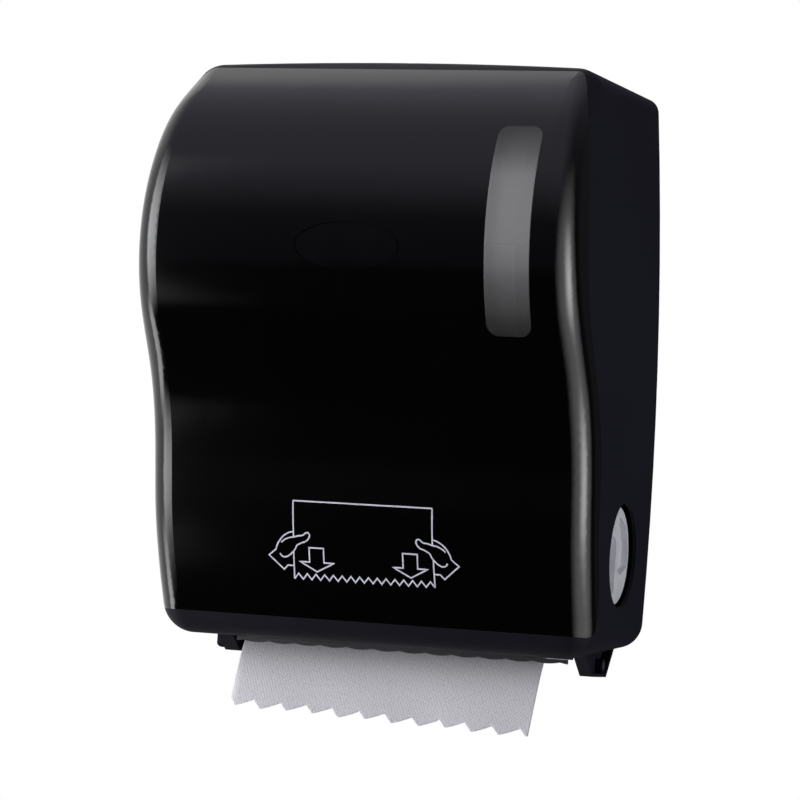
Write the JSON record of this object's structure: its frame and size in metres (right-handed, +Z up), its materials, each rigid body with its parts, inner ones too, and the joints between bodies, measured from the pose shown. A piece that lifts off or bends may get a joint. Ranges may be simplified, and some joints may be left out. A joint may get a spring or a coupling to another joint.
{
  "type": "roll towel dispenser",
  "caption": "Wall-mounted hands-free roll towel dispenser with an S-shaped hinged cover, viewing window, feed knob and a drum that cuts each sheet as it is pulled.",
  "frame": {"origin": "centre of the four mounting holes, on the back plate's wall face", "axes": "+X to the right seen from the front, +Y into the wall, +Z up"},
  "size_m": [0.2854, 0.226, 0.4208],
  "materials": {
    "shell_plastic": "fine matte texture",
    "panel_gloss": "high gloss",
    "lens_smoke": "smoked clear plastic",
    "badge_plastic": "satin gloss",
    "lock_metal": "polished",
    "frame_plastic": "fine matte texture",
    "steel": "brushed",
    "spring_steel": "bare",
    "knob_plastic": "satin",
    "mechanism_plastic": "satin",
    "grip_rubber": "soft matte",
    "tissue": "embossed",
    "core_board": "plain"
  },
  "bodies": {
    "base": {"back_plate": "frame_plastic", "side_plate_left": "frame_plastic", "side_plate_right": "frame_plastic", "tie_rods": "steel", "plate_feet": "frame_plastic", "plate_screws": "steel", "hinge_pin_left": "steel", "hinge_pin_right": "steel", "paper_guide": "frame_plastic", "drum_guard": "frame_plastic", "spring_anchor": "steel", "return_spring": "spring_steel", "arm_bracket_left": "frame_plastic", "arm_bracket_right": "frame_plastic", "arm_pin_left": "steel", "arm_pin_right": "steel", "pinch_spring_left": "spring_steel", "pinch_spring_right": "spring_steel", "paper_towel": "tissue"},
    "cover": {"cover_shell": "shell_plastic", "front_panel": "panel_gloss", "window_lens": "lens_smoke", "badge_inlay": "badge_plastic", "lock_barrel": "lock_metal"},
    "lock": {"lock_plug": "lock_metal", "lock_tongue": "steel"},
    "drum": {"drum_shell": "mechanism_plastic", "drum_grip_bands": "grip_rubber", "drum_cap_left": "mechanism_plastic", "drum_cap_right": "mechanism_plastic", "feed_knob": "knob_plastic", "crank_arm": "mechanism_plastic", "crank_pin": "steel"},
    "cutter": {"blade_carrier": "mechanism_plastic", "blade_rod": "steel", "cutter_blade": "steel"},
    "pinch_blocks": {"pinch_block_left": "mechanism_plastic", "pinch_block_right": "mechanism_plastic"},
    "pinch_roller": {"pinch_sleeves": "grip_rubber", "pinch_shaft": "steel"},
    "roll": {"paper_roll": "tissue", "roll_core": "core_board"},
    "arm_left": {"roll_arm_left": "frame_plastic"},
    "arm_right": {"roll_arm_right": "frame_plastic"},
    "hub_left": {"roll_hub_left": "mechanism_plastic"},
    "hub_right": {"roll_hub_right": "mechanism_plastic"}
  },
  "joints": [
    {"name": "cover_swing", "type": "hinge", "parent": "base", "child": "cover", "pos_m": [0, -0.038, -0.189], "axis": [1, 0, 0], "range_deg": [0, 90]},
    {"name": "lock_turn", "type": "hinge", "parent": "cover", "child": "lock", "pos_m": [-0.11, -0.024, 0.173], "axis": [0, 0, -1], "range_deg": [0, 90]},
    {"name": "roll_spin", "type": "hinge", "parent": "base", "child": "roll", "pos_m": [0, -0.113, 0.067], "axis": [-1, 0, 0], "continuous": true},
    {"name": "drum_turn", "type": "hinge", "parent": "base", "child": "drum", "pos_m": [0, -0.0688, -0.1195], "axis": [-1, 0, 0], "continuous": true, "deforming": ["return_spring", "paper_towel"]},
    {"name": "cutter_swing", "type": "hinge", "parent": "drum", "child": "cutter", "pos_m": [0, -0.09932, -0.12036], "axis": [1, 0, 0], "range_deg": [0, 30]},
    {"name": "pinch_slide", "type": "slide", "parent": "base", "child": "pinch_blocks", "axis": [0, 1, 0], "range_m": [0, 0.003], "stiffness_N_per_m": 900, "springref_m": -0.001, "deforming": ["pinch_spring_left", "pinch_spring_right"]},
    {"name": "pinch_spin", "type": "hinge", "parent": "pinch_blocks", "child": "pinch_roller", "pos_m": [0, -0.0194, -0.1195], "axis": [1, 0, 0], "continuous": true},
    {"name": "arm_left_swing", "type": "hinge", "parent": "base", "child": "arm_left", "pos_m": [-0.10575, -0.01, 0.067], "axis": [0, 0, -1], "range_deg": [0, 8]},
    {"name": "arm_right_swing", "type": "hinge", "parent": "base", "child": "arm_right", "pos_m": [0.10575, -0.01, 0.067], "axis": [0, 0, 1], "range_deg": [0, 8]},
    {"name": "hub_left_spin", "type": "hinge", "parent": "arm_left", "child": "hub_left", "pos_m": [-0.1, -0.113, 0.067], "axis": [-1, 0, 0], "continuous": true},
    {"name": "hub_right_spin", "type": "hinge", "parent": "arm_right", "child": "hub_right", "pos_m": [0.1, -0.113, 0.067], "axis": [-1, 0, 0], "continuous": true}
  ],
  "couplings": [
    {"joint": "drum_turn", "follows": "roll_spin", "ratio": 2.4852},
    {"joint": "pinch_spin", "follows": "roll_spin", "ratio": 9.4195},
    {"joint": "hub_left_spin", "follows": "roll_spin", "ratio": 1},
    {"joint": "hub_right_spin", "follows": "roll_spin", "ratio": 1}
  ]
}
